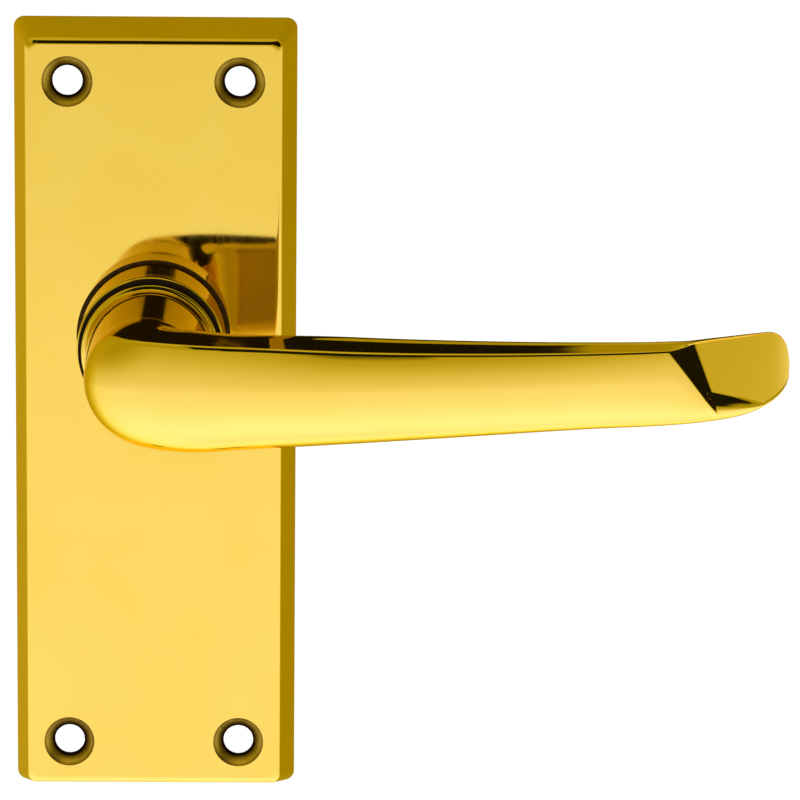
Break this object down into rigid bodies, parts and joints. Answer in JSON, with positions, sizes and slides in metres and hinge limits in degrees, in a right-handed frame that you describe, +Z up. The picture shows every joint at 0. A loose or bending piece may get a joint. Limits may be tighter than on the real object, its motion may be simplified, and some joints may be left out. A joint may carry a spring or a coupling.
{
  "type": "lever door handle on latch backplate",
  "caption": "Polished brass lever handle on a plain bevelled latch backplate, sprung to return level, with a square spindle that works the latch from one side of a door.",
  "frame": {"origin": "on the spindle axis, in the plane of the door face that the backplate lies against", "axes": "+X along the lever, +Y into the door along the spindle, +Z up"},
  "size_m": [0.1118, 0.1113, 0.118],
  "materials": {
    "polished_brass": "mirror polished and clear lacquered",
    "white_nylon": "natural moulded nylon",
    "black_nylon": "moulded nylon, black",
    "spring_steel": "oiled dark spring steel",
    "steel": "bright mild steel",
    "zinc_steel": "bright zinc plated"
  },
  "bodies": {
    "plate": {"backplate": "polished_brass", "collar": "polished_brass", "bearing_bush": "white_nylon", "return_spring": "spring_steel", "rear_cover": "zinc_steel", "rest_stop_pin": "steel", "down_stop_pin": "steel", "spring_anchor_pin": "steel", "cover_screw_1": "zinc_steel", "cover_screw_2": "zinc_steel", "cover_screw_3": "zinc_steel", "cover_screw_4": "zinc_steel"},
    "handle": {"lever": "polished_brass", "thrust_washer": "black_nylon", "wave_washer": "spring_steel", "follower": "steel", "retaining_ring": "spring_steel", "spindle": "zinc_steel", "grub_screw": "spring_steel"}
  },
  "joints": [
    {"name": "lever_turn", "type": "hinge", "parent": "plate", "child": "handle", "pos_m": [0, 0, 0], "axis": [0, 1, 0], "range_deg": [0, 45], "stiffness_Nm_per_rad": 0.45, "springref_deg": -34.38, "deforming": ["return_spring"]}
  ]
}
